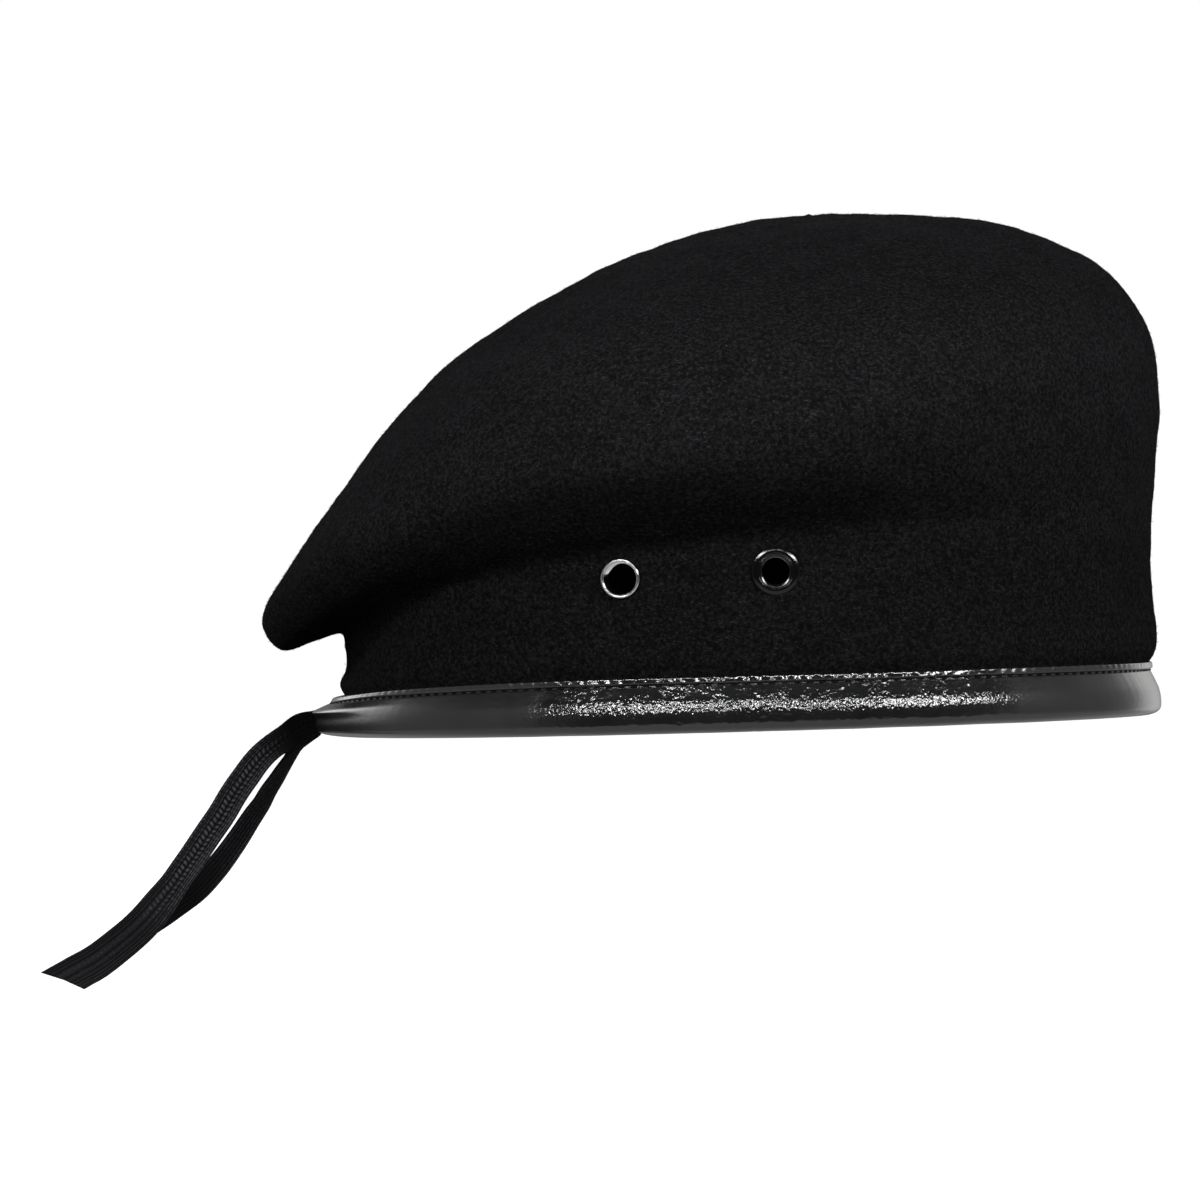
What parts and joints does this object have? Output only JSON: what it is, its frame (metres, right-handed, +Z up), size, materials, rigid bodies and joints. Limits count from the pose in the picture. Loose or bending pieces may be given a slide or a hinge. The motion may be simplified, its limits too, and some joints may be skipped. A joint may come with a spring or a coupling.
{
  "type": "military beret",
  "caption": "Felted wool beret shaped down to the wearer's right, with a leather binding, two side eyelets and two hanging tape ends.",
  "frame": {"origin": "centre of the head opening, level with the lower edge of the leather binding: the seat where a head holds the hat up", "axes": "+X is the wearer's front, -Y the wearer's right, where the crown hangs over the wall and the eyelets are, +Z up out of the top of the head"},
  "size_m": [0.2819, 0.1934, 0.1887],
  "materials": {
    "felt": "matte milled wool felt",
    "leather": "glossy black, fine grain",
    "eyelet_black": "gloss black lacquer",
    "eyelet_bright": "polished",
    "tape": "ribbed tape"
  },
  "bodies": {
    "root": {"wool_crown": "felt", "leather_binding": "leather", "eyelet_front": "eyelet_black", "eyelet_rear": "eyelet_bright", "ribbon_tail_right": "tape", "ribbon_tail_left": "tape"}
  },
  "joints": []
}
